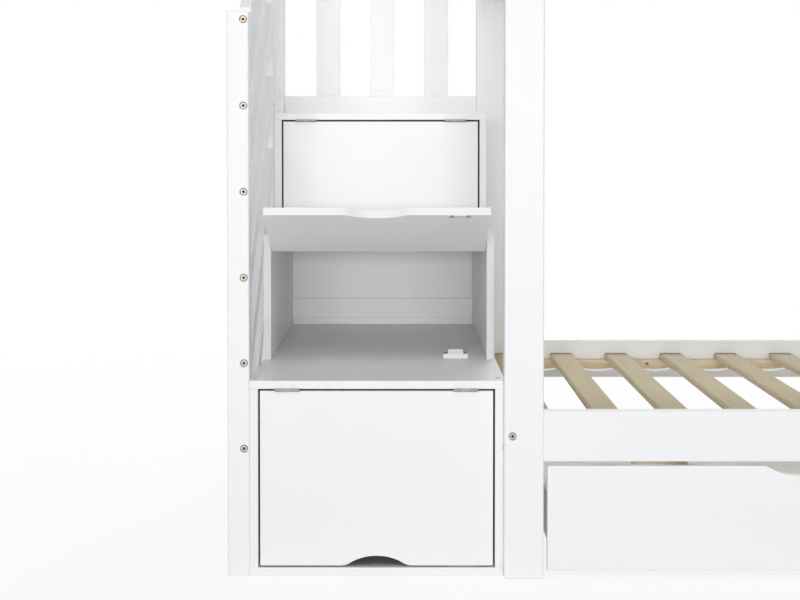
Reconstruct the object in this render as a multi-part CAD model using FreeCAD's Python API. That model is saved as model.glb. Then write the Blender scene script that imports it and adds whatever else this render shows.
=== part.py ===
import FreeCAD, Part
import math
import os

# Bunk bed with a storage stair tower at its left end and two drawers below.
# X runs along the bed, Y from the front to the back, Z up. Sizes are in millimetres.
# The pieces are laid out from the middle of the tower's front face at floor level,
# and moved at the end so that the origin is the middle of the footprint.

# Stair tower
board = 15.0
tower_width = 458.0
first_rise = 354.0
rise = 248.0
going = 283.0
back_panel_face = 905.0
batten_height = 47.0
batten_thickness = 12.0
batten_lift = 16.0
screw_inset = 35.0
screw_head_radius = 4.0
screw_head_depth = 3.5
screw_shank_radius = 2.0
screw_length = 30.0

# Flap doors and their hinges, catches and strike plates
door_gap = 3.5
door_open_angle = 111.0
open_level = 1
notch_width = 130.0
notch_height = 18.0
notch_corner_radius = 30.0
hinge_length = 45.0
hinge_offset = 161.0
hinge_leaf = 1.2
hinge_leaf_depth = 14.0
knuckle_radius = 2.6
hinge_pin_radius = 1.5
pin_clearance = 0.05
knuckle_clearance = 0.3
catch_offset = 153.0
catch_length = 29.0
catch_flange_length = 50.0
catch_flange = 9.0
catch_depth = 14.0
catch_height = 18.0
catch_slot_length = 25.0
catch_slot_height = 2.0
catch_slot_depth = 4.0
catch_slot_lifts = (9.4, 14.0)
strike_length = 43.0
strike_height = 11.0
strike_thickness = 1.2
catch_clearance = 0.5

# Guard beside the stairs and round the platform
guard_post = 40.0
guard_front_top = 1020.0
guard_top = 1472.0
guard_slope = 0.75
guard_slat_width = 40.0
guard_slat_thickness = 20.0
guard_slat_count = 6
guard_slat_inset = 10.0
guard_slat_bolt_grip = 20.0
first_bolt_height = 231.0
bolt_pitch = 154.7
guard_post_setback = 13.0
platform_bolt_lift = 16.0
platform_bolt_reach = 32.0
guard_rail_height = 48.0
back_guard_rail_height = 67.0
back_guard_gap_at_bed = 70.0
back_guard_pitch = 132.4
back_guard_slats = 3

# Bed frame
mattress_length = 1905.0
mattress_width = 990.0
mattress_end_room = 6.5
mattress_side_room = 7.3
post_width = 71.0
post_thickness = 36.4
post_height = 1588.0
post_projection = 23.0
rail_thickness = 24.0
rail_height = 91.0
side_bolt_lift = 24.0
end_bolt_lift = 47.5
end_rail_inset = 3.0
lower_rail_bottom = 210.0
upper_rail_bottom = 1145.0
cleat_height = 20.0
cleat_depth = 27.0
cleat_lift = 26.0
slat_width = 55.0
slat_thickness = 14.0
slat_pitch = 134.8
slat_end_gap = 19.6
slat_side_room = 1.5
slat_edge_radius = 4.0
webbing_width = 25.0
webbing_thickness = 1.5
webbing_inset = 165.0
webbing_sag = 5.0

# Guards of the upper berth and the lower headboard
guard_rail_drop = 28.0
top_rail_height = 60.0
berth_slat_width = 57.7
berth_slat_thickness = 18.0
berth_slat_gap = 74.0
entry_post_width = 60.0
headboard_rail_bottom = 640.0

# Drawers on casters
drawer_gap = 8.0
drawer_front_bottom = 11.5
drawer_front_top = 201.5
drawer_front_projection = 7.7
drawer_depth = 880.0
drawer_side_thickness = 12.0
drawer_side_height = 78.0
drawer_bottom_height = 66.0
drawer_bottom_thickness = 6.0
drawer_block_offset = 158.0
drawer_block_length = 102.0
drawer_block_depth = 35.0
drawer_block_height = 20.0
drawer_block_drop = 1.5
wheel_radius = 24.0
wheel_width = 20.0
axle_radius = 3.0
caster_side = 60.0
caster_front = 70.0
fork_thickness = 2.5
fork_plate_length = 46.0
fork_clearance = 0.6
cheek_below_axle = 6.0
cheek_half_width = 7.5

# Bolts and edges
bolt_radius = 3.0
bolt_head_radius = 6.2
bolt_head_depth = 5.0
bolt_head_chamfer = 0.8
bolt_socket_radius = 3.1
bolt_socket_depth = 3.5
bolt_grip = 32.0
bolt_hole_clearance = 0.3
bolt_head_clearance = 1.0
edge_radius = 1.2
post_edge_radius = 3.0

# Places worked out from the sizes above
tower_left = -tower_width / 2
tower_right = tower_width / 2
inner_left = tower_left + board
inner_right = tower_right - board
tread_tops = [first_rise, first_rise + rise, first_rise + 2 * rise]
riser_faces = [0.0, going, 2 * going]
floor_tops = [board] + tread_tops[:2]

post_front = -post_projection
post_inner_front = post_front + post_thickness
post_inner_back = post_inner_front + mattress_width + 2 * mattress_side_room
post_back = post_inner_back + post_thickness
tower_back = post_inner_back
guard_rail_top = post_height - guard_rail_drop
drawer_front_back = board - drawer_front_projection

bed_left = tower_right
end_rail_left = bed_left + end_rail_inset
berth_left = end_rail_left + rail_thickness
berth_right = berth_left + mattress_length + 2 * mattress_end_room
bed_right = berth_right + rail_thickness + end_rail_inset
rail_left = bed_left + post_width
rail_right = bed_right - post_width

guard_inner = tower_left
guard_outer = guard_inner - guard_post
mid_post_back = riser_faces[-1]
mid_post_front = mid_post_back - guard_post
back_post_inner = guard_inner - guard_post_setback
back_post_outer = back_post_inner - guard_post
slat_middle = guard_inner - guard_slat_inset
slat_climb = guard_slope * (mid_post_front - guard_post)
slat_heights = [first_bolt_height + i * bolt_pitch for i in range(guard_slat_count)]

centre_x = (back_post_outer + bed_right) / 2
centre_y = (post_front + post_back) / 2
to_origin = FreeCAD.Vector(-centre_x, -centre_y, 0)

ALONG_X = FreeCAD.Vector(1, 0, 0)
ALONG_Y = FreeCAD.Vector(0, 1, 0)
ALONG_Z = FreeCAD.Vector(0, 0, 1)


def point(x, y, z):
    return FreeCAD.Vector(x, y, z)


def block(x, y, z):
    """A box between two limits along each axis."""
    corner = point(min(x), min(y), min(z))
    return Part.makeBox(max(x) - min(x), max(y) - min(y), max(z) - min(z), corner)


def plank(x, y, z, radius=edge_radius):
    """A piece of timber or board with eased edges."""
    solid = block(x, y, z)
    thinnest = min(max(side) - min(side) for side in (x, y, z))
    return solid.makeFillet(min(radius, thinnest / 3), solid.Edges)


def rod(start, direction, length, radius):
    return Part.makeCylinder(radius, length, start, direction)


def prism_y(edges, front, back):
    """A solid whose outline, given as edges, lies across Y."""
    face = Part.Face(Part.Wire(Part.__sortEdges__(edges)))
    return face.extrude(point(0, back - front, 0))


def save(node, *solids):
    shapes = [solid.translated(to_origin) for solid in solids]
    shape = shapes[0] if len(shapes) == 1 else Part.makeCompound(shapes)
    shape.exportStep("parts/" + node + ".step")


def spread(start, end, width, gap):
    """Places of equal pieces that share a span with about the wanted gap."""
    count = max(1, round((end - start - gap) / (width + gap)))
    clear = (end - start - count * width) / (count + 1)
    return [start + clear + i * (width + clear) for i in range(count)]


# Bolts

def key_socket(face, direction):
    """The six-sided recess for the key that turns a bolt."""
    turns = [FreeCAD.Rotation(direction, 60 * i) for i in range(7)]
    corners = [face + turn.multVec(ALONG_Z * bolt_socket_radius) for turn in turns]
    return Part.Face(Part.makePolygon(corners)).extrude(direction * bolt_socket_depth)


def bolt(face, direction, reach):
    """A socket-head bolt let in flush with the face that it enters."""
    rim = bolt_head_radius - bolt_head_chamfer
    tip = Part.makeCone(rim, bolt_head_radius, bolt_head_chamfer, face, direction)
    seat = face + direction * bolt_head_chamfer
    head = tip.fuse(rod(seat, direction, bolt_head_depth - bolt_head_chamfer, bolt_head_radius))
    shank = rod(seat, direction, reach - bolt_head_chamfer, bolt_radius)
    return head.fuse(shank).cut(key_socket(face, direction)).removeSplitter()


def bolt_hole(face, direction, reach):
    counterbore = rod(face, direction, bolt_head_depth, bolt_head_radius + bolt_head_clearance)
    bore = rod(face, direction, reach + bolt_hole_clearance, bolt_radius + bolt_hole_clearance)
    return counterbore.fuse(bore)


def drilled(solid, places):
    """The solid with a hole for each bolt place that reaches it."""
    for place in places:
        hole = bolt_hole(*place)
        if hole.BoundBox.intersect(solid.BoundBox):
            solid = solid.cut(hole)
    return solid


# Stair tower

def tread_screw_places():
    for top, front in zip(tread_tops, riser_faces):
        for x in (tower_left + board / 2, tower_right - board / 2):
            yield point(x, front + screw_inset, top)


def tread_screw(top):
    head = rod(top, -ALONG_Z, screw_head_depth, screw_head_radius)
    return head.fuse(rod(top, -ALONG_Z, screw_length, screw_shank_radius))


def screwed(solid):
    for top in tread_screw_places():
        screw = tread_screw(top)
        if screw.BoundBox.intersect(solid.BoundBox):
            solid = solid.cut(screw)
    return solid


def side_boards(x):
    """Upright boards of one side, between the levels of the treads."""
    boards = []
    for level, (bottom, top) in enumerate(zip(floor_tops, tread_tops)):
        joints = riser_faces[level:] + [tower_back]
        for front, back in zip(joints, joints[1:]):
            boards.append(screwed(plank(x, (front, back), (bottom, top - board))))
    return boards


def make_tower():
    width = (tower_left, tower_right)
    depth = (0.0, tower_back)
    save("stair_base_board", plank(width, depth, (0.0, board)))
    for number, (top, front) in enumerate(zip(tread_tops, riser_faces), 1):
        tread = plank(width, (front, tower_back), (top - board, top))
        save("stair_tread_%d" % number, screwed(tread))
    save("stair_left_boards", *side_boards((tower_left, inner_left)))
    save("stair_right_boards", *side_boards((inner_right, tower_right)))
    panels = []
    battens = []
    for bottom, top in zip(floor_tops, tread_tops):
        panel_depth = (back_panel_face, back_panel_face + board)
        batten_depth = (back_panel_face - batten_thickness, back_panel_face)
        batten = (bottom + batten_lift, bottom + batten_lift + batten_height)
        panels.append(plank((inner_left, inner_right), panel_depth, (bottom, top - board)))
        battens.append(plank((inner_left, inner_right), batten_depth, batten))
    save("stair_back_panels", *panels)
    save("stair_back_battens", *battens)
    save("stair_tread_screws", *[tread_screw(top) for top in tread_screw_places()])


# Doors. Each hangs from the tread above it and its finger notch is in the free edge.

def notch_outline(middle, edge, inward, front):
    """Edges of a shallow arch with soft ends, cut into a board's edge.

    The arch's circle and the two corner circles touch each other, and the
    corner circles touch the edge. inward is +1 where the board is above its edge.
    """
    half = notch_width / 2
    reach = (half ** 2 + notch_height ** 2) / (2 * notch_height)
    turn = math.asin(half / reach)

    def at(x, z):
        return point(middle + x, front, edge + inward * z)

    def corner(side, angle):
        x = half - notch_corner_radius * math.sin(angle)
        z = notch_corner_radius * (1 - math.cos(angle))
        return at(side * x, z)

    top = at(0, notch_height)
    outside = [at(-half, -board), at(half, -board)]
    return [
        Part.Arc(corner(-1, 0), corner(-1, turn / 2), corner(-1, turn)).toShape(),
        Part.Arc(corner(-1, turn), top, corner(1, turn)).toShape(),
        Part.Arc(corner(1, turn), corner(1, turn / 2), corner(1, 0)).toShape(),
        Part.makeLine(corner(1, 0), outside[1]),
        Part.makeLine(outside[1], outside[0]),
        Part.makeLine(outside[0], corner(-1, 0)),
    ]


def hinge_axis(level):
    """A point on the pin's axis, level with the middle of the gap over the door."""
    height = tread_tops[level] - board - door_gap / 2
    return point(0, riser_faces[level] - knuckle_radius, height)


def swung_open(solid, level):
    return solid.rotated(hinge_axis(level), ALONG_X, -door_open_angle)


def door_panel(level):
    front = riser_faces[level]
    bottom = floor_tops[level] + door_gap
    top = tread_tops[level] - board - door_gap
    sides = (inner_left + door_gap, inner_right - door_gap)
    panel = plank(sides, (front, front + board), (bottom, top))
    notch = prism_y(notch_outline(0, bottom, 1, front - 1), front - 1, front + board + 1)
    return panel.cut(notch)


def knuckle(level, start, end):
    axis = hinge_axis(level)
    return rod(point(start, axis.y, axis.z), ALONG_X, end - start, knuckle_radius)


def hinge_leaf_solid(level, middle, moving):
    """One leaf with its knuckles, bored for the pin. The moving leaf has the middle one."""
    axis = hinge_axis(level)
    third = hinge_length / 3
    start = middle - hinge_length / 2
    end = middle + hinge_length / 2
    front = riser_faces[level]
    if moving:
        seat = axis.z - door_gap / 2
        plate = (seat, seat + hinge_leaf)
        spans = [(start + third, end - third)]
    else:
        seat = axis.z + door_gap / 2
        plate = (seat - hinge_leaf, seat)
        spans = [(start, start + third), (end - third, end)]
    back = front + hinge_leaf_depth
    leaf = block((start, end), (front + knuckle_clearance, back), plate)
    for span_start, span_end in spans:
        span = (span_start + knuckle_clearance / 2, span_end - knuckle_clearance / 2)
        tail = block(span, (axis.y, back), plate)
        leaf = leaf.fuse(tail).fuse(knuckle(level, *span))
    bore = rod(point(start, axis.y, axis.z), ALONG_X, hinge_length, hinge_pin_radius + pin_clearance)
    return leaf.cut(bore).removeSplitter()


def hinge_pin(level, middle):
    axis = hinge_axis(level)
    start = point(middle - hinge_length / 2, axis.y, axis.z)
    return rod(start, ALONG_X, hinge_length, hinge_pin_radius)


def strike_plate(level):
    inner_face = riser_faces[level] + board
    bottom = floor_tops[level] + door_gap + edge_radius
    along = (catch_offset - strike_length / 2, catch_offset + strike_length / 2)
    return block(along, (inner_face, inner_face + strike_thickness), (bottom, bottom + strike_height))


def catch(level):
    """A catch with two ears and two slots for its sprung plates, behind the door."""
    floor = floor_tops[level]
    front = riser_faces[level] + board + strike_thickness + catch_clearance
    depth = (front, front + catch_depth)
    body = (catch_offset - catch_length / 2, catch_offset + catch_length / 2)
    ears = (catch_offset - catch_flange_length / 2, catch_offset + catch_flange_length / 2)
    solid = plank(body, depth, (floor, floor + catch_height))
    solid = solid.fuse(plank(ears, depth, (floor, floor + catch_flange)))
    slots = (catch_offset - catch_slot_length / 2, catch_offset + catch_slot_length / 2)
    for lift in catch_slot_lifts:
        height = (floor + lift, floor + lift + catch_slot_height)
        solid = solid.cut(block(slots, (front, front + catch_slot_depth), height))
    return solid.removeSplitter()


def make_doors():
    hinges = (-hinge_offset, hinge_offset)
    fixed = []
    pins = []
    catches = []
    for level in range(len(tread_tops)):
        panel = door_panel(level)
        fittings = [hinge_leaf_solid(level, middle, True) for middle in hinges]
        fittings.append(strike_plate(level))
        if level == open_level:
            panel = swung_open(panel, level)
            fittings = [swung_open(solid, level) for solid in fittings]
        save("stair_door_%d" % (level + 1), panel)
        save("stair_door_%d_fittings" % (level + 1), *fittings)
        fixed += [hinge_leaf_solid(level, middle, False) for middle in hinges]
        pins += [hinge_pin(level, middle) for middle in hinges]
        catches.append(catch(level))
    save("stair_hinge_leaves", *fixed)
    save("stair_hinge_pins", *pins)
    save("stair_catches", *catches)


# Guard beside the stairs and round the platform

def guard_bolt_places():
    """Bolts through the front and the middle post into the ends of the slanted slats."""
    reach = guard_post + guard_slat_bolt_grip
    for height in slat_heights:
        yield point(slat_middle, 0.0, height), ALONG_Y, reach
        yield point(slat_middle, mid_post_back, height + slat_climb), -ALONG_Y, reach


def slanted_slat(height):
    """A slat whose ends are cut upright where they meet the two posts."""
    half = guard_slat_width / 2 * math.sqrt(1 + guard_slope ** 2)
    outer = slat_middle - guard_slat_thickness / 2
    corners = [
        point(outer, guard_post, height - half),
        point(outer, mid_post_front, height + slat_climb - half),
        point(outer, mid_post_front, height + slat_climb + half),
        point(outer, guard_post, height + half),
    ]
    outline = Part.makePolygon(corners + corners[:1])
    solid = Part.Face(outline).extrude(point(guard_slat_thickness, 0, 0))
    return solid.makeFillet(edge_radius, solid.Edges)


def platform_bolt_place():
    """Cross bolt through the middle post, just above the platform."""
    height = tread_tops[-1] + platform_bolt_lift
    middle = (mid_post_front + mid_post_back) / 2
    return point(guard_inner, middle, height), -ALONG_X, platform_bolt_reach


def make_guard():
    places = list(guard_bolt_places())
    along_x = (guard_outer, guard_inner)
    front = plank(along_x, (0.0, guard_post), (0.0, guard_front_top), post_edge_radius)
    save("guard_front_post", drilled(front, places))
    cross = platform_bolt_place()
    middle = plank(along_x, (mid_post_front, mid_post_back), (0.0, guard_top), post_edge_radius)
    save("guard_middle_post", drilled(middle, places + [cross]))
    corner_x = (back_post_outer, back_post_inner)
    corner = plank(corner_x, (post_inner_back, post_back), (0.0, guard_top), post_edge_radius)
    save("guard_corner_post", corner)
    slats = [drilled(slanted_slat(height), places) for height in slat_heights]
    save("guard_slanted_slats", *slats)

    platform = tread_tops[-1]
    rail_x = (back_post_inner - guard_slat_thickness, back_post_inner)
    side = (mid_post_back, post_inner_back)
    low_rail = (platform, platform + guard_rail_height)
    high_rail = (guard_top - guard_rail_height, guard_top)
    save("guard_side_rails", plank(rail_x, side, low_rail), plank(rail_x, side, high_rail))
    side_slats = []
    for start in spread(side[0], side[1], berth_slat_width, berth_slat_gap):
        reach = (start, start + berth_slat_width)
        side_slats.append(plank(rail_x, reach, (low_rail[1], high_rail[0])))
    save("guard_side_slats", *side_slats)

    rail_y = (post_inner_back, post_inner_back + guard_slat_thickness)
    back = (back_post_inner, bed_left)
    low_rail = (platform - board, platform - board + back_guard_rail_height)
    save("guard_back_rails", plank(back, rail_y, low_rail), plank(back, rail_y, high_rail))
    back_slats = []
    for i in range(back_guard_slats):
        right = bed_left - back_guard_gap_at_bed - i * back_guard_pitch
        reach = (right - berth_slat_width, right)
        back_slats.append(plank(reach, rail_y, (low_rail[1], high_rail[0])))
    save("guard_back_slats", *back_slats)
    save("guard_bolts", *[bolt(*place) for place in places + [cross]])


# Bed frame

def rail_levels():
    return (lower_rail_bottom, upper_rail_bottom)


def end_bolt_places():
    """Bolts through the posts' broad faces into the ends of the end rails."""
    reach = post_thickness + bolt_grip
    for bottom in rail_levels():
        height = bottom + end_bolt_lift
        for x in (end_rail_left + rail_thickness / 2, berth_right + rail_thickness / 2):
            yield point(x, post_front, height), ALONG_Y, reach
            yield point(x, post_back, height), -ALONG_Y, reach


def side_bolt_places():
    """Bolts through the posts' narrow faces into the ends of the side rails."""
    reach = post_width + bolt_grip
    for bottom in rail_levels():
        height = bottom + side_bolt_lift
        front = post_inner_front - rail_thickness / 2
        back = post_inner_back + rail_thickness / 2
        for y in (front, back):
            yield point(bed_left, y, height), ALONG_X, reach
            yield point(bed_right, y, height), -ALONG_X, reach


def make_frame():
    places = list(end_bolt_places()) + list(side_bolt_places())
    sides = {"left": (bed_left, rail_left), "right": (rail_right, bed_right)}
    faces = {"front": (post_front, post_inner_front), "back": (post_inner_back, post_back)}
    for face, y in faces.items():
        for side, x in sides.items():
            post = plank(x, y, (0.0, post_height), post_edge_radius)
            save("bed_post_%s_%s" % (face, side), drilled(post, places))
    rail_faces = {
        "front": (post_inner_front - rail_thickness, post_inner_front),
        "back": (post_inner_back, post_inner_back + rail_thickness),
    }
    for name, bottom in zip(("lower", "upper"), rail_levels()):
        for face, y in rail_faces.items():
            rail = plank((rail_left, rail_right), y, (bottom, bottom + rail_height))
            save("%s_%s_rail" % (name, face), drilled(rail, places))
    end_rails = []
    for bottom in rail_levels():
        for x in (end_rail_left, berth_right):
            across = (post_inner_front, post_inner_back)
            rail = plank((x, x + rail_thickness), across, (bottom, bottom + rail_height))
            end_rails.append(drilled(rail, places))
    save("bed_end_rails", *end_rails)
    save("bed_bolts", *[bolt(*place) for place in places])


def slat_starts():
    room = berth_right - berth_left - 2 * slat_end_gap - slat_width
    count = int(room / slat_pitch) + 1
    return [berth_left + slat_end_gap + i * slat_pitch for i in range(count)]


def slat(start, ends, level):
    """A slat whose long edges are rounded."""
    solid = block((start, start + slat_width), ends, level)
    long_edges = [edge for edge in solid.Edges if edge.BoundBox.YLength > slat_width]
    return solid.makeFillet(slat_edge_radius, long_edges)


def webbing_strap(middle, top):
    """A strap under the slats that hangs a little between them."""
    starts = slat_starts()

    def edge_chain(z):
        edges = []
        for i, start in enumerate(starts):
            end = start + slat_width
            edges.append(Part.makeLine(point(start, 0, z), point(end, 0, z)))
            if i + 1 < len(starts):
                low = point((end + starts[i + 1]) / 2, 0, z - webbing_sag)
                edges.append(Part.Arc(point(end, 0, z), low, point(starts[i + 1], 0, z)).toShape())
        return edges

    first = starts[0]
    last = starts[-1] + slat_width
    bottom = top - webbing_thickness
    ends = [
        Part.makeLine(point(first, 0, bottom), point(first, 0, top)),
        Part.makeLine(point(last, 0, bottom), point(last, 0, top)),
    ]
    edges = edge_chain(top) + edge_chain(bottom) + ends
    strap = prism_y(edges, 0, webbing_width)
    return strap.translated(point(0, middle - webbing_width / 2, 0))


def make_slats():
    cleats = []
    straps = []
    ends = (post_inner_front + slat_side_room, post_inner_back - slat_side_room)
    for name, bottom in zip(("lower", "upper"), rail_levels()):
        cleat = (bottom + cleat_lift, bottom + cleat_lift + cleat_height)
        for y in (post_inner_front, post_inner_back - cleat_depth):
            cleats.append(plank((rail_left, rail_right), (y, y + cleat_depth), cleat))
        level = (cleat[1], cleat[1] + slat_thickness)
        slats = [slat(x, ends, level) for x in slat_starts()]
        save(name + "_slats", *slats)
        for middle in (ends[0] + webbing_inset, ends[1] - webbing_inset):
            straps.append(webbing_strap(middle, level[0]))
    save("slat_cleats", *cleats)
    save("slat_webbing", *straps)


# Guards of the upper berth and the lower headboard

def make_berth_guards():
    inset = (rail_thickness - berth_slat_thickness) / 2
    rail_z = (guard_rail_top - top_rail_height, guard_rail_top)
    slat_z = (upper_rail_bottom + rail_height, rail_z[0])
    front = (post_inner_front - rail_thickness, post_inner_front)
    back = (post_inner_back, post_inner_back + rail_thickness)
    left = (end_rail_left, berth_left)
    right = (berth_right, berth_right + rail_thickness)
    entry = (mid_post_front - entry_post_width, mid_post_front)
    across = (post_inner_front, post_inner_back)
    along = (rail_left, rail_right)

    def thin(limits):
        return (limits[0] + inset, limits[1] - inset)

    def slats_along_x(y, z):
        starts = spread(along[0], along[1], berth_slat_width, berth_slat_gap)
        return [plank((x, x + berth_slat_width), thin(y), z) for x in starts]

    def slats_along_y(x, span, z):
        starts = spread(span[0], span[1], berth_slat_width, berth_slat_gap)
        return [plank(thin(x), (y, y + berth_slat_width), z) for y in starts]

    rails = [
        plank(along, front, rail_z),
        plank(along, back, rail_z),
        plank(right, across, rail_z),
        plank(left, (across[0], entry[0]), rail_z),
    ]
    save("upper_guard_rails", *rails)
    slats = slats_along_x(front, slat_z) + slats_along_x(back, slat_z)
    slats += slats_along_y(right, across, slat_z)
    slats += slats_along_y(left, (across[0], entry[0]), slat_z)
    save("upper_guard_slats", *slats)
    save("upper_entry_post", plank(left, entry, (slat_z[0], guard_rail_top)))

    head_z = (headboard_rail_bottom, headboard_rail_bottom + top_rail_height)
    save("headboard_rail", plank(right, across, head_z))
    head_slat_z = (lower_rail_bottom + rail_height, head_z[0])
    save("headboard_slats", *slats_along_y(right, across, head_slat_z))


# Drawers

def caster_middles(left, right):
    """Wheel centres of one drawer, front pair first."""
    front = drawer_front_back + caster_front
    back = drawer_front_back + drawer_depth - caster_front
    for y in (front, back):
        for x in (left + caster_side, right - caster_side):
            yield x, y


def caster_fork(x, y):
    """A plate under the drawer with two cheeks that carry the axle."""
    half = wheel_width / 2 + fork_clearance
    outer = half + fork_thickness
    reach = fork_plate_length / 2
    top = drawer_bottom_height
    fork = block((x - reach, x + reach), (y - reach, y + reach), (top - fork_thickness, top))
    deep = (y - cheek_half_width, y + cheek_half_width)
    tall = (wheel_radius - cheek_below_axle, top)
    for side in ((x - outer, x - half), (x + half, x + outer)):
        fork = fork.fuse(block(side, deep, tall))
    bore = rod(point(x - outer, y, wheel_radius), ALONG_X, 2 * outer, axle_radius + pin_clearance)
    return fork.cut(bore).removeSplitter()


def caster_axle(x, y):
    outer = wheel_width / 2 + fork_clearance + fork_thickness
    return rod(point(x - outer, y, wheel_radius), ALONG_X, 2 * outer, axle_radius)


def caster_wheel(x, y):
    start = point(x - wheel_width / 2, y, wheel_radius)
    disc = rod(start, ALONG_X, wheel_width, wheel_radius)
    rims = [edge for edge in disc.Edges if edge.Curve.TypeId == "Part::GeomCircle"]
    disc = disc.makeFillet(2 * edge_radius, rims)
    return disc.cut(rod(start, ALONG_X, wheel_width, axle_radius + pin_clearance))


def make_drawer(number, left, right):
    front_y = (-drawer_front_projection, drawer_front_back)
    panel = plank((left, right), front_y, (drawer_front_bottom, drawer_front_top))
    middle = (left + right) / 2
    outline = notch_outline(middle, drawer_front_top, -1, front_y[0] - 1)
    name = "drawer_%d_" % number
    save(name + "front", panel.cut(prism_y(outline, front_y[0] - 1, front_y[1] + 1)))

    back = drawer_front_back + drawer_depth
    floor = (drawer_bottom_height, drawer_bottom_height + drawer_bottom_thickness)
    save(name + "bottom", block((left, right), (drawer_front_back, back), floor))
    walls_z = (floor[1], floor[1] + drawer_side_height)
    deep = (drawer_front_back, back)
    between = (left + drawer_side_thickness, right - drawer_side_thickness)
    walls = [
        plank((left, between[0]), deep, walls_z),
        plank((between[1], right), deep, walls_z),
        plank(between, (back - drawer_side_thickness, back), walls_z),
    ]
    save(name + "walls", *walls)

    block_x = (left + drawer_block_offset, left + drawer_block_offset + drawer_block_length)
    block_y = (drawer_front_back, drawer_front_back + drawer_block_depth)
    block_top = drawer_front_top - drawer_block_drop
    block_z = (block_top - drawer_block_height, block_top)
    save(name + "block", plank(block_x, block_y, block_z))

    middles = list(caster_middles(left, right))
    forks = [caster_fork(x, y) for x, y in middles]
    axles = [caster_axle(x, y) for x, y in middles]
    save(name + "casters", *(forks + axles))
    wheels = [caster_wheel(x, y) for x, y in middles]
    save(name + "front_wheels", *wheels[:2])
    save(name + "back_wheels", *wheels[2:])


def make_drawers():
    width = (rail_right - rail_left - 3 * drawer_gap) / 2
    for number in (1, 2):
        left = rail_left + drawer_gap + (number - 1) * (width + drawer_gap)
        make_drawer(number, left, left + width)


os.makedirs("parts", exist_ok=True)
make_tower()
make_doors()
make_guard()
make_frame()
make_slats()
make_berth_guards()
make_drawers()
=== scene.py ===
import math

import bmesh
import bpy
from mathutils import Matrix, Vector


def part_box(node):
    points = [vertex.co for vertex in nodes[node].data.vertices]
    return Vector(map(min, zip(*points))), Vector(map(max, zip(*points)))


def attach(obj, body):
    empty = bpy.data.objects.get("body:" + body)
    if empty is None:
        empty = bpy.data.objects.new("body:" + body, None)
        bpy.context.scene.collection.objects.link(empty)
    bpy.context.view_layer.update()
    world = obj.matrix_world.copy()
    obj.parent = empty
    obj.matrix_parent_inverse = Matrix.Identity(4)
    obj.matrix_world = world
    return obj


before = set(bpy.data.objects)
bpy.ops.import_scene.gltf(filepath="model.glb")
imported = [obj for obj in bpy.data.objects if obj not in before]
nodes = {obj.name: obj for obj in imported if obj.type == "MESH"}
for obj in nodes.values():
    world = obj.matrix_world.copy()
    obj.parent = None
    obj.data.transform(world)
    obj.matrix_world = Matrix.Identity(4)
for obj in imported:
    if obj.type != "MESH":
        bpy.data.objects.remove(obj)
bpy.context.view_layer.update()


# Stair tower. A stack of three boxes of 15 mm board, each step's tread being the
# next box's floor. The board is smooth, sprayed white and satin, with a faint
# unevenness of the spray that only shows in its shine.

class Socket:
    """A value in a finish's node tree. Arithmetic on it adds Math nodes."""

    def __init__(self, finish, socket):
        self.finish = finish
        self.socket = socket

    def math(self, operation, *others):
        """A Math node with this value first."""
        return self.finish.math(operation, self, *others)

    def __add__(self, other):
        return self.math("ADD", other)

    def __sub__(self, other):
        return self.math("SUBTRACT", other)

    def __rsub__(self, other):
        return self.finish.math("SUBTRACT", other, self)

    def __mul__(self, other):
        return self.math("MULTIPLY", other)

    def __truediv__(self, other):
        return self.math("DIVIDE", other)

    __radd__ = __add__
    __rmul__ = __mul__

    def rise(self, low, high):
        """0 below low, 1 above high, and smooth between them."""
        limits = {"Value": self, "From Min": low, "From Max": high}
        return self.finish.node("ShaderNodeMapRange", {"interpolation_type": "SMOOTHSTEP"}, limits)


class Finish:
    """A material of the bed, with its Principled shader and what colours it."""

    def __init__(self, name, **looks):
        self.material = bpy.data.materials.new(name)
        self.material.use_nodes = True
        self.tree = self.material.node_tree
        self.shader = self.tree.nodes["Principled BSDF"]
        self.place = self.node("ShaderNodeTexCoord", output="Object")
        self.facing = self.node("ShaderNodeTexCoord", output="Normal")
        self.looks(**looks)

    def node(self, kind, settings=(), values=(), output=0):
        node = self.tree.nodes.new(kind)
        for name, value in dict(settings).items():
            setattr(node, name, value)
        for name, value in dict(values).items():
            self.feed(node.inputs[name], value)
        return Socket(self, node.outputs[output])

    def math(self, operation, *values):
        return self.node("ShaderNodeMath", {"operation": operation}, dict(enumerate(values)))

    def feed(self, socket, value):
        if isinstance(value, Socket):
            self.tree.links.new(value.socket, socket)
        else:
            socket.default_value = value

    def looks(self, **values):
        for name, value in values.items():
            self.feed(self.shader.inputs[name.replace("_", " ")], value)

    def part(self, vector, axis):
        return self.node("ShaderNodeSeparateXYZ", (), {0: vector}, "XYZ".index(axis))

    def along(self, vector, direction):
        settings = {"operation": "DOT_PRODUCT"}
        return self.node("ShaderNodeVectorMath", settings, {0: vector, 1: direction}, "Value")

    def vector(self, x, y, z):
        return self.node("ShaderNodeCombineXYZ", (), {0: x, 1: y, 2: z})

    def noise(self, vector, scale, detail=2.0, distortion=0.0):
        values = {"Vector": vector, "Scale": scale, "Detail": detail, "Distortion": distortion}
        return self.node("ShaderNodeTexNoise", (), values)

    def chance(self, number):
        """A random number for each whole number."""
        whole = number.math("FLOOR")
        return self.node("ShaderNodeTexWhiteNoise", {"noise_dimensions": "1D"}, {"W": whole})

    def blend(self, amount, first, second):
        values = {0: amount, 6: first, 7: second}
        return self.node("ShaderNodeMix", {"data_type": "RGBA"}, values, 2)

    def relief(self, height, depth):
        """A bump whose height of 1 stands for the depth in metres."""
        values = {"Strength": 1.0, "Distance": depth, "Height": height}
        self.looks(Normal=self.node("ShaderNodeBump", (), values))


def grey(shade, tint=(1.0, 1.0, 1.0)):
    return tuple(shade * part for part in tint) + (1.0,)


def paint(finish, *names):
    """Gives CAD nodes a finish."""
    for name in names:
        slots = nodes[name].data.materials
        slots.clear()
        slots.append(finish.material)


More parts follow.
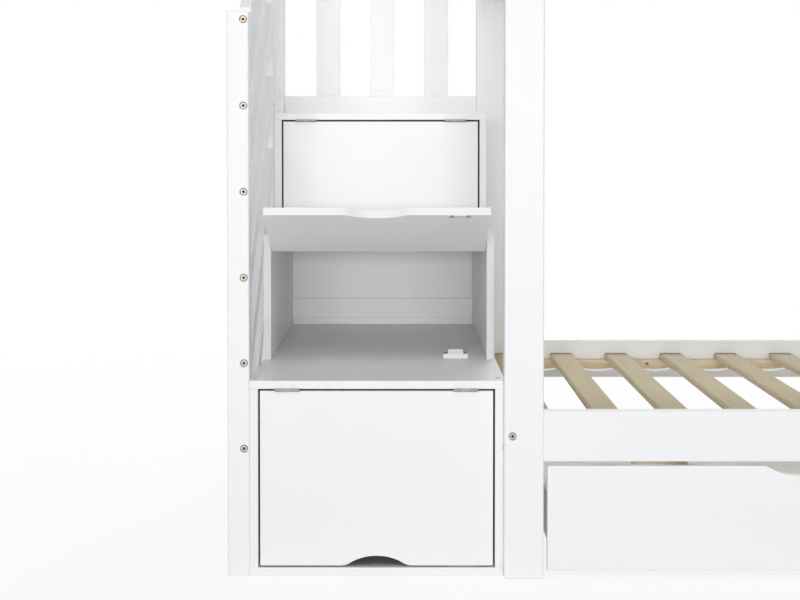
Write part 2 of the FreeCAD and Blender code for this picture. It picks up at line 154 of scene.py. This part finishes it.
COOL = (0.985, 0.993, 1.0)
board_white = 0.945
flap_white = 0.95


def sprayed_board(name, shade):
    finish = Finish(name, Metallic=0.0)
    cloud = finish.noise(finish.place, scale=2.3, detail=3.0).rise(0.3, 0.7)
    fine = finish.noise(finish.place, scale=190.0, detail=2.0)
    finish.looks(Base_Color=finish.blend(cloud, grey(shade * 0.985, COOL), grey(shade, COOL)))
    finish.looks(Roughness=0.34 + 0.06 * cloud + 0.05 * fine)
    finish.relief(fine, 0.00004)
    return finish


board = sprayed_board("sprayed_board", board_white)
paint(board, "stair_base_board", "stair_tread_1", "stair_tread_2", "stair_tread_3")
paint(board, "stair_left_boards", "stair_right_boards", "stair_back_panels", "stair_back_battens")


def tumbled(name, roughness):
    """Metal finely brushed by its tumbling. What makes its patches rougher comes with it."""
    finish = Finish(name, Metallic=1.0)
    patch = finish.noise(finish.place, scale=310.0, detail=4.0).rise(0.25, 0.75)
    finish.looks(Roughness=roughness + 0.14 * patch)
    finish.relief(finish.noise(finish.place, scale=2600.0, detail=2.0), 0.00001)
    return finish, patch


def plated(name, colour, roughness, mottle):
    """Plated steel, darker by the mottle where it isn't rough."""
    finish, patch = tumbled(name, roughness)
    dull = tuple(part * (1.0 - mottle) for part in colour[:3]) + (1.0,)
    finish.looks(Base_Color=finish.blend(patch, dull, colour))
    return finish


ZINC = (0.31, 0.315, 0.32, 1.0)
SCREW_STEEL = (0.2, 0.195, 0.19, 1.0)
zinc = plated("zinc_plating", ZINC, roughness=0.42, mottle=0.35)
screw_steel = plated("screw_steel", SCREW_STEEL, roughness=0.45, mottle=0.3)
paint(screw_steel, "stair_tread_screws")


# Flap doors. Plain board flaps, each hung from the tread above by two small butt
# hinges let in between the edges, with a finger notch in the free edge and a
# steel strike plate for a white catch on the floor behind it. The plate's finish
# changes over short ways, in metres: at its end, measured from the flap's free edge,
# and at the inner and outer side of its screws, measured from its middle.

strike_end = (0.018, 0.022)
strike_screw_inner = (0.0105, 0.0125)
strike_screw_outer = (0.0185, 0.0205)
STRIKE_BRIGHT = (0.82, 0.84, 0.84, 1.0)
STRIKE_SCREW = (0.4, 0.4, 0.4, 1.0)

flap_board = sprayed_board("flap_board", flap_white)
paint(flap_board, "stair_door_1", "stair_door_2", "stair_door_3")
paint(zinc, "stair_hinge_leaves", "stair_hinge_pins")

catch_low, catch_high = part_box("stair_catches")
catch_middle = (catch_low.x + catch_high.x) / 2


def door_metal(number, axis):
    """Zinc hinge leaves, and at the flap's free edge a bright plate with dark screws."""
    fittings = "stair_door_%s_fittings" % number
    finish = tumbled("door_metal_" + number, roughness=0.42)[0]
    free_edge = getattr(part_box(fittings)[0], axis.lower())
    plate = 1.0 - (finish.part(finish.place, axis) - free_edge).rise(*strike_end)
    across = (finish.part(finish.place, "X") - catch_middle).math("ABSOLUTE")
    screw = across.rise(*strike_screw_inner) - across.rise(*strike_screw_outer)
    bright = finish.blend(screw, STRIKE_BRIGHT, STRIKE_SCREW)
    finish.looks(Base_Color=finish.blend(plate, ZINC, bright), Metallic=1.0 - 0.8 * plate)
    paint(finish, fittings)


for number, axis in (("1", "Z"), ("2", "Y"), ("3", "Z")):
    door_metal(number, axis)


def moulded(name, colour, roughness=0.42):
    """Moulded plastic with the fine spark texture of its tool."""
    finish = Finish(name, Metallic=0.0)
    grain = finish.noise(finish.place, scale=1500.0, detail=3.0)
    haze = finish.noise(finish.place, scale=40.0, detail=2.0)
    darker = tuple(part * 0.93 for part in colour[:3]) + (1.0,)
    finish.looks(Base_Color=finish.blend(haze, darker, colour), Roughness=roughness + 0.1 * haze)
    finish.relief(grain, 0.00003)
    return finish


catch_plastic = moulded("catch_plastic", grey(0.88))
paint(catch_plastic, "stair_catches")


def tree_with(name, inputs):
    """A geometry tree with named number inputs."""
    tree = bpy.data.node_groups.new(name, "GeometryNodeTree")
    for way in ("INPUT", "OUTPUT"):
        tree.interface.new_socket("Geometry", in_out=way, socket_type="NodeSocketGeometry")
    for label, value in inputs.items():
        number = tree.interface.new_socket(label, in_out="INPUT", socket_type="NodeSocketFloat")
        number.default_value = value
    start = tree.nodes.new("NodeGroupInput")
    end = tree.nodes.new("NodeGroupOutput")
    return tree, start, end


def add(tree, kind, links=(), settings=()):
    """A node with its settings and its inputs, each a value or another node's output."""
    node = tree.nodes.new(kind)
    for name, value in dict(settings).items():
        setattr(node, name, value)
    for name, value in dict(links).items():
        if isinstance(value, bpy.types.NodeSocket):
            tree.links.new(value, node.inputs[name])
        else:
            node.inputs[name].default_value = value
    return node


def times(tree, socket, factor):
    return add(tree, "ShaderNodeMath", {0: socket, 1: factor}, {"operation": "MULTIPLY"}).outputs[0]


def copy_to_places(tree, start, end, shape):
    """Puts a copy of the shape at each place and makes the copies real."""
    links = {"Points": start.outputs["Geometry"], "Instance": shape.outputs[0]}
    copies = add(tree, "GeometryNodeInstanceOnPoints", links)
    real = add(tree, "GeometryNodeRealizeInstances", {0: copies.outputs[0]})
    tree.links.new(real.outputs[0], end.inputs[0])


def grown(name, places, tree, finish, body):
    """Runs a tree on a cloud of places and keeps the result as a plain mesh."""
    cloud = bpy.data.meshes.new(name + "_places")
    cloud.from_pydata([tuple(place) for place in places], [], [])
    piece = bpy.data.objects.new(name, cloud)
    bpy.context.scene.collection.objects.link(piece)
    modifier = piece.modifiers.new("grow", "NODES")
    modifier.node_group = tree
    solid = bpy.data.meshes.new_from_object(piece.evaluated_get(bpy.context.evaluated_depsgraph_get()))
    piece.modifiers.remove(modifier)
    piece.data = solid
    solid.name = name
    solid.materials.clear()
    solid.materials.append(finish.material)
    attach(piece, body)


# The catches' steps from the lowest one, back and up, and where a catch's ears are.
catch_steps = ((0.0, 0.0), (0.283, 0.339), (0.566, 0.587))
ear_height = 0.009
ear_middle = 0.0197
catch_half_depth = 0.007


def screw_head_tree():
    """A pan head of two tapered steps, the upper one flatter."""
    tree, start, end = tree_with("catch_screws", {"Radius": 0.0031, "Height": 0.0022})
    radius = start.outputs["Radius"]
    height = start.outputs["Height"]

    shoulder = times(tree, radius, 0.9)
    crown = times(tree, radius, 0.5)
    step = times(tree, height, 0.6)
    rest = times(tree, height, 0.4)
    links = {"Radius Top": shoulder, "Radius Bottom": radius, "Depth": step, "Vertices": 20}
    lower = add(tree, "GeometryNodeMeshCone", links)
    links = {"Radius Top": crown, "Radius Bottom": shoulder, "Depth": rest, "Vertices": 20}
    upper = add(tree, "GeometryNodeMeshCone", links)
    lift = add(tree, "ShaderNodeCombineXYZ", {2: step})
    raised = add(tree, "GeometryNodeTransform", {0: upper.outputs[0], "Translation": lift.outputs[0]})
    head = add(tree, "GeometryNodeJoinGeometry")
    for part in (lower, raised):
        tree.links.new(part.outputs[0], head.inputs[0])
    copy_to_places(tree, start, end, head)
    return tree


def ear_screw_places():
    for back, up in catch_steps:
        for side in (-1, 1):
            x = catch_middle + side * ear_middle
            yield x, catch_low.y + back + catch_half_depth, catch_low.z + up + ear_height


grown("catch_screws", ear_screw_places(), screw_head_tree(), screw_steel, "frame")


# Guard beside the stairs. Solid pine posts, rails and slats under white paint, so
# that the grain shows through as faint lines along each piece. Socket bolts with
# flush heads hold the slanted slats to the posts.

SLOPE = (0.0, 0.8, 0.6)
SLOPE_UP = (0.0, -0.6, 0.8)
GRAIN = {
    "x": ((1, 0, 0), (0, 1, 0), (0, 0, 1)),
    "y": ((0, 1, 0), (1, 0, 0), (0, 0, 1)),
    "z": ((0, 0, 1), (1, 0, 0), (0, 1, 0)),
    "slope": (SLOPE, (1, 0, 0), SLOPE_UP),
}


def grain_space(finish, direction, stretch=14.0):
    """Coordinates of timber, drawn out along the grain."""
    length, side, up = (finish.along(finish.place, axis) for axis in GRAIN[direction])
    return finish.vector(length / stretch, side, up)


def painted_pine(name, space_of):
    """White paint with the timber's growth lines and pores showing through."""
    finish = Finish(name, Metallic=0.0)
    space = space_of(finish)
    cloud = finish.noise(finish.place, scale=1.7, detail=3.0).rise(0.3, 0.7)
    lines = finish.noise(space, scale=95.0, detail=4.0, distortion=0.4)
    pores = finish.noise(space, scale=520.0, detail=2.0)
    white = finish.blend(lines.rise(0.35, 0.75), grey(0.945, COOL), grey(0.938))
    finish.looks(Base_Color=finish.blend(cloud * 0.5, white, grey(0.93, COOL)))
    finish.looks(Roughness=0.36 + 0.07 * lines + 0.05 * pores)
    finish.relief(lines * 0.7 + pores * 0.3, 0.0001)
    return finish


def pine_along(direction):
    return painted_pine("painted_pine_" + direction, lambda finish: grain_space(finish, direction))


pine_x, pine_y, pine_z, pine_slope = (pine_along(direction) for direction in ("x", "y", "z", "slope"))
paint(pine_z, "guard_front_post", "guard_middle_post", "guard_corner_post")
paint(pine_z, "guard_side_slats", "guard_back_slats")
paint(pine_slope, "guard_slanted_slats")
paint(pine_y, "guard_side_rails")
paint(pine_x, "guard_back_rails")

# The nickel of the bolt heads, and a near-black painted shade for the key sockets sunk below their flats.
HEAD_NICKEL = (0.46, 0.39, 0.32, 1.0)
SOCKET_SHADE_NICKEL = (0.055, 0.045, 0.036, 1.0)
socket_shade_depth = (0.0001, 0.0007)    # below the head's flat, from the nickel to the painted shade of the socket


def bolt_metal(name, x_faces, y_faces):
    """Nickel on the heads' flats, with painted shade darkening the key sockets below them."""
    finish = tumbled(name, roughness=0.42)[0]
    flat = 0.0
    for axis, faces in (("X", x_faces), ("Y", y_faces)):
        for face in faces:
            away = (finish.part(finish.place, axis) - face).math("ABSOLUTE")
            flat = 1.0 - away.rise(*socket_shade_depth) + flat
    flat = flat.math("MINIMUM", 1.0)
    finish.looks(Base_Color=finish.blend(flat, SOCKET_SHADE_NICKEL, HEAD_NICKEL))
    return finish


guard_bolt_low, guard_bolt_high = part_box("guard_bolts")
guard_bolt_faces = (guard_bolt_low.y, guard_bolt_high.y)
paint(bolt_metal("guard_bolt_nickel", (guard_bolt_high.x,), guard_bolt_faces), "guard_bolts")


# Bed frame. Four posts set broad side to the front, with side rails bolted
# between them and end rails behind, all painted as the guard is.

paint(pine_z, "bed_post_front_left", "bed_post_front_right")
paint(pine_z, "bed_post_back_left", "bed_post_back_right")
paint(pine_x, "lower_front_rail", "lower_back_rail", "upper_front_rail", "upper_back_rail")
paint(pine_y, "bed_end_rails")
bed_bolt_low, bed_bolt_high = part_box("bed_bolts")
bed_bolt_ends = (bed_bolt_low.x, bed_bolt_high.x)
bed_bolt_faces = (bed_bolt_low.y, bed_bolt_high.y)
paint(bolt_metal("bed_bolt_nickel", bed_bolt_ends, bed_bolt_faces), "bed_bolts")


# Slats. Bare beige laminated strips across each berth, resting on pine cleats
# and kept apart by two white straps stapled to their undersides.

slat_pitch = 0.1348
slat_width = 0.055
slat_thickness = 0.014
ply_layers = 7
SLAT_PALE = (0.4, 0.325, 0.178, 1.0)
SLAT_BROWN = (0.33, 0.252, 0.126, 1.0)
# The plies of the slats' edges: their own layered colour, lifted with painted light so that the shaded
# edges read about as bright as the faces.
PLY_PALE_WITH_PAINTED_LIGHT = (0.82, 0.72, 0.51, 1.0)
PLY_DARK_WITH_PAINTED_LIGHT = (0.66, 0.55, 0.36, 1.0)

# The finish gives each slat its own tone by its number along the bed. Past a height
# between the berths that number jumps, so that the upper slats have other tones.
between_berths = (0.6, 0.7)
tones_apart = 31.0

slat_low, slat_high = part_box("lower_slats")
upper_slat_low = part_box("upper_slats")[0]


def make_slat_finish():
    """Long grain and a tone of its own on each slat's faces, and plies on its edges, painted paler than
    bare ply to make up for the shade on the edges.
    """
    finish = Finish("laminated_slat", Metallic=0.0)
    x, y, z = (finish.part(finish.place, axis) for axis in "XYZ")
    first = slat_low.x - slat_pitch / 4
    which = (x - first) / slat_pitch + z.rise(*between_berths) * tones_apart
    tone = finish.chance(which)
    space = finish.vector(x, y / 18.0, z)
    streaks = finish.noise(space, scale=120.0, detail=5.0, distortion=0.8)
    fibres = finish.noise(space, scale=900.0, detail=2.0)
    patches = finish.noise(finish.vector(x, y / 3.0, z), scale=9.0, detail=2.0)
    grain = streaks.rise(0.3, 0.75) * 0.55 + patches.rise(0.3, 0.7) * 0.3 + tone * 0.15
    face = finish.blend(grain, SLAT_BROWN, SLAT_PALE)
    layer = finish.chance((z + 1.0) / (slat_thickness / ply_layers) + tone * 9.0)
    edge = finish.blend(layer, PLY_DARK_WITH_PAINTED_LIGHT, PLY_PALE_WITH_PAINTED_LIGHT)
    flat = finish.part(finish.facing, "Z").math("ABSOLUTE")
    finish.looks(Base_Color=finish.blend(flat.rise(0.5, 0.8), edge, face))
    finish.looks(Roughness=0.58 + 0.12 * fibres)
    finish.relief(streaks * 0.5 + fibres * 0.5, 0.0002)
    return finish


paint(make_slat_finish(), "lower_slats", "upper_slats")


KNOT_BROWN = (0.26, 0.16, 0.075, 1.0)


def bare_pine(name, pale, dark, knots):
    """Unpainted pine along X, with growth lines that bend round its knots."""
    finish = Finish(name, Metallic=0.0)
    x, y, z = (finish.part(finish.place, axis) for axis in "XYZ")
    bend = 0.0
    cores = 0.0
    for knot_x, knot_z, radius in knots:
        across = (x - knot_x) / (radius * 1.3)
        up = (z - knot_z) / radius
        squared = across * across + up * up
        near = (squared * -0.35).math("EXPONENT")
        bend = near + bend
        cores = (squared * -1.6).math("EXPONENT") + cores
    lines_at = finish.vector(x / 9.0, y, z + bend * 0.006)
    lines = finish.noise(lines_at, scale=130.0, detail=3.0, distortion=0.5)
    fibres = finish.noise(finish.vector(x / 25.0, y, z), scale=900.0, detail=2.0)
    wood = finish.blend(lines.rise(0.35, 0.7), dark, pale)
    if knots:
        wood = finish.blend(cores.rise(0.15, 0.8), wood, KNOT_BROWN)
    finish.looks(Base_Color=wood)
    finish.looks(Roughness=0.6 + 0.15 * fibres)
    finish.relief(lines * 0.5 + fibres * 0.5, 0.00025)
    return finish


# A knot's x, z and radius.
knot_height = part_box("slat_cleats")[0].z + 0.011
cleat_knots = [(-0.3135, knot_height, 0.0048), (0.43, knot_height + 0.002, 0.0042)]
# The cleats' pine colours are lighter than bare pine. This is painted light that lifts the cleats out of
# the shade under the rails.
CLEAT_PALE_WITH_PAINTED_LIGHT = (0.92, 0.8, 0.58, 1.0)
CLEAT_DARK_WITH_PAINTED_LIGHT = (0.8, 0.65, 0.41, 1.0)
paint(bare_pine("cleat_pine", CLEAT_PALE_WITH_PAINTED_LIGHT, CLEAT_DARK_WITH_PAINTED_LIGHT, cleat_knots), "slat_cleats")

thread_pitch = 0.0011


def make_webbing_finish():
    """A plain woven strap: threads over and under each other, a millimetre apart."""
    finish = Finish("woven_strap", Metallic=0.0)
    x = finish.part(finish.place, "X")
    y = finish.part(finish.place, "Y")
    turn = math.pi / thread_pitch
    warp = (x * turn).math("SINE")
    weft = (y * turn).math("SINE")
    weave = warp * weft * 0.5 + 0.5
    finish.looks(Base_Color=finish.blend(weave, grey(0.72), grey(0.88)), Roughness=0.8)
    finish.looks(Sheen_Weight=0.2)
    finish.relief(weave, 0.00025)
    return finish


paint(make_webbing_finish(), "slat_webbing")


# Staples. Two wire staples hold each strap to the underside of every slat.

strap_low, strap_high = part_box("slat_webbing")
strap_width = 0.025
strap_thickness = 0.0015
staple_crown = 0.010
staple_wire = 0.0005
staple_bow = 0.0007


def staple_tree():
    """A staple's crown, bowed out a little, with round wire."""
    inputs = {"Crown": staple_crown, "Wire": staple_wire, "Bow": staple_bow}
    tree, start, end = tree_with("staples", inputs)
    left = add(tree, "ShaderNodeCombineXYZ", {0: times(tree, start.outputs["Crown"], -0.5)})
    right = add(tree, "ShaderNodeCombineXYZ", {0: times(tree, start.outputs["Crown"], 0.5)})
    low = add(tree, "ShaderNodeCombineXYZ", {2: times(tree, start.outputs["Bow"], -2.0)})
    links = {"Start": left.outputs[0], "Middle": low.outputs[0], "End": right.outputs[0], "Resolution": 6}
    crown = add(tree, "GeometryNodeCurveQuadraticBezier", links)
    ring = add(tree, "GeometryNodeCurvePrimitiveCircle", {"Resolution": 6, "Radius": start.outputs["Wire"]})
    links = {"Curve": crown.outputs[0], "Profile Curve": ring.outputs[0], "Fill Caps": True}
    wire = add(tree, "GeometryNodeCurveToMesh", links)
    copy_to_places(tree, start, end, wire)
    return tree


def staple_places():
    count = round((slat_high.x - slat_low.x - slat_width) / slat_pitch) + 1
    for level in (slat_low.z, upper_slat_low.z):
        for middle in (strap_low.y + strap_width / 2, strap_high.y - strap_width / 2):
            for number in range(count):
                x = slat_low.x + slat_width / 2 + number * slat_pitch
                for side in (-1, 1):
                    yield x, middle + side * strap_width / 4, level - strap_thickness


grown("strap_staples", staple_places(), staple_tree(), zinc, "frame")


# Guards of the upper berth and the headboard of the lower one. Flat slats
# between two rails, glued in, painted as the frame is.

def ring_space(finish):
    """Grain along X in the side pieces and along Y in the end pieces."""
    low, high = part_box("lower_front_rail")
    side_reach = (high.x - low.x) / 2 + 0.002
    x = finish.part(finish.place, "X") - (low.x + high.x) / 2
    at_end = x.math("ABSOLUTE").math("GREATER_THAN", side_reach)
    spaces = {4: grain_space(finish, "x"), 5: grain_space(finish, "y")}
    return finish.node("ShaderNodeMix", {"data_type": "VECTOR"}, {0: at_end, **spaces}, 1)


paint(painted_pine("painted_pine_ring", ring_space), "upper_guard_rails")
paint(pine_z, "upper_guard_slats", "upper_entry_post", "headboard_slats")
paint(pine_y, "headboard_rail")


# Drawers. A white board front on a plain white box, with a block of bare pine
# behind the front's top edge, rolling on four casters with pressed steel forks.

# The block's pine colours are lighter than bare pine. This is painted light against the shade behind the
# drawer front.
BLOCK_PALE_WITH_PAINTED_LIGHT = (0.86, 0.77, 0.56, 1.0)
BLOCK_DARK_WITH_PAINTED_LIGHT = (0.76, 0.64, 0.42, 1.0)
block_pine = bare_pine("block_pine", BLOCK_PALE_WITH_PAINTED_LIGHT, BLOCK_DARK_WITH_PAINTED_LIGHT, knots=[])
wheel_black = moulded("wheel_plastic", grey(0.035), roughness=0.5)
for number in ("1", "2"):
    paint(flap_board, "drawer_%s_front" % number)
    paint(board, "drawer_%s_walls" % number, "drawer_%s_bottom" % number)
    paint(block_pine, "drawer_%s_block" % number)
    paint(zinc, "drawer_%s_casters" % number)
    paint(wheel_black, "drawer_%s_front_wheels" % number, "drawer_%s_back_wheels" % number)


# Studio. A white floor that runs out to a white surround, one large soft lamp far
# in front, which reaches into the compartments, and weaker ones round the rest.

floor_half = 30.0
floor_white_near = 0.88          # how much of the floor's look is plain white near the bed
floor_white_from = (1.3, 3.5)    # the distance over which it becomes wholly white


def stage_floor():
    """A floor that takes light as grey but shows to the camera and to gloss as white."""
    mesh = bpy.data.meshes.new("studio_floor")
    shape = bmesh.new()
    bmesh.ops.create_grid(shape, x_segments=1, y_segments=1, size=floor_half)
    shape.to_mesh(mesh)
    shape.free()
    floor = bpy.data.objects.new("studio_floor", mesh)
    bpy.context.scene.collection.objects.link(floor)
    finish = Finish("studio_floor", Base_Color=grey(0.92), Roughness=0.9)
    glow = finish.node("ShaderNodeEmission", (), {"Color": grey(1.0), "Strength": 1.0})
    seen, glossy, through = (
        finish.node("ShaderNodeLightPath", output="Is %s Ray" % kind)
        for kind in ("Camera", "Glossy", "Transmission")
    )
    away = finish.node("ShaderNodeVectorMath", {"operation": "LENGTH"}, {0: finish.place}, "Value")
    shown_to = seen.math("MAXIMUM", glossy).math("MAXIMUM", through)
    whiteness = floor_white_near + (1.0 - floor_white_near) * away.rise(*floor_white_from)
    amount = shown_to * whiteness
    shader = Socket(finish, finish.shader.outputs[0])
    shown = finish.node("ShaderNodeMixShader", (), {0: amount, 1: shader, 2: glow})
    finish.feed(finish.tree.nodes["Material Output"].inputs["Surface"], shown)
    mesh.materials.append(finish.material)


def surround(strength):
    """Light all round, which the camera and gloss see as plain white."""
    world = bpy.data.worlds.new("studio")
    bpy.context.scene.world = world
    world.use_nodes = True
    tree = world.node_tree
    light = tree.nodes["Background"]
    light.inputs["Color"].default_value = grey(1.0, (0.985, 0.995, 1.02))
    light.inputs["Strength"].default_value = strength
    white = tree.nodes.new("ShaderNodeBackground")
    white.inputs["Color"].default_value = grey(1.0)
    rays = tree.nodes.new("ShaderNodeLightPath")
    shown_to = rays.outputs["Is Camera Ray"]
    for kind in ("Is Glossy Ray", "Is Transmission Ray"):
        either = tree.nodes.new("ShaderNodeMath")
        either.operation = "MAXIMUM"
        tree.links.new(shown_to, either.inputs[0])
        tree.links.new(rays.outputs[kind], either.inputs[1])
        shown_to = either.outputs[0]
    mix = tree.nodes.new("ShaderNodeMixShader")
    tree.links.new(shown_to, mix.inputs[0])
    tree.links.new(light.outputs[0], mix.inputs[1])
    tree.links.new(white.outputs[0], mix.inputs[2])
    tree.links.new(mix.outputs[0], tree.nodes["World Output"].inputs["Surface"])


def lamp(name, place, target, size, power):
    data = bpy.data.lights.new(name, "AREA")
    data.shape = "RECTANGLE"
    data.size, data.size_y = size
    data.energy = power
    light = bpy.data.objects.new(name, data)
    light.location = place
    light.rotation_euler = (Vector(target) - Vector(place)).to_track_quat("-Z", "Y").to_euler()
    bpy.context.scene.collection.objects.link(light)


stage_floor()
surround(strength=0.29)
lamp("front_lamp", place=(-1.0, -13.0, 1.4), target=(-0.9, 0.0, 0.6), size=(5.0, 1.4), power=515.0)
lamp("left_lamp", place=(-6.6, -8.2, 0.9), target=(-0.7, 0.0, 0.5), size=(3.0, 1.4), power=30.0)
lamp("right_lamp", place=(5.4, -8.2, 0.9), target=(-0.7, 0.0, 0.5), size=(3.0, 1.4), power=30.0)
lamp("upper_lamp", place=(-1.4, -5.5, 6.5), target=(-0.5, 0.0, 0.7), size=(4.0, 3.0), power=115.0)
lamp("back_lamp", place=(0.5, 5.0, 5.0), target=(-0.3, 0.0, 0.7), size=(4.0, 3.0), power=280.0)
bpy.context.scene.view_settings.view_transform = "Standard"


# Camera. It stands in front of the stair tower at chest height and looks at it
# squarely, tipped down a little, with a small shift that keeps the posts upright.

camera_tip = math.radians(1.5)
camera = bpy.data.cameras.new("camera")
camera.sensor_width = 36.0
camera.lens = 69.295
camera.shift_x = -0.00182
camera.shift_y = -0.13761
camera.clip_end = 200.0
viewer = bpy.data.objects.new("camera", camera)
viewer.location = (-0.9145, -3.2827, 0.7708)
viewer.rotation_euler = (math.pi / 2 - camera_tip, 0.0, 0.0)
bpy.context.scene.collection.objects.link(viewer)
bpy.context.scene.camera = viewer
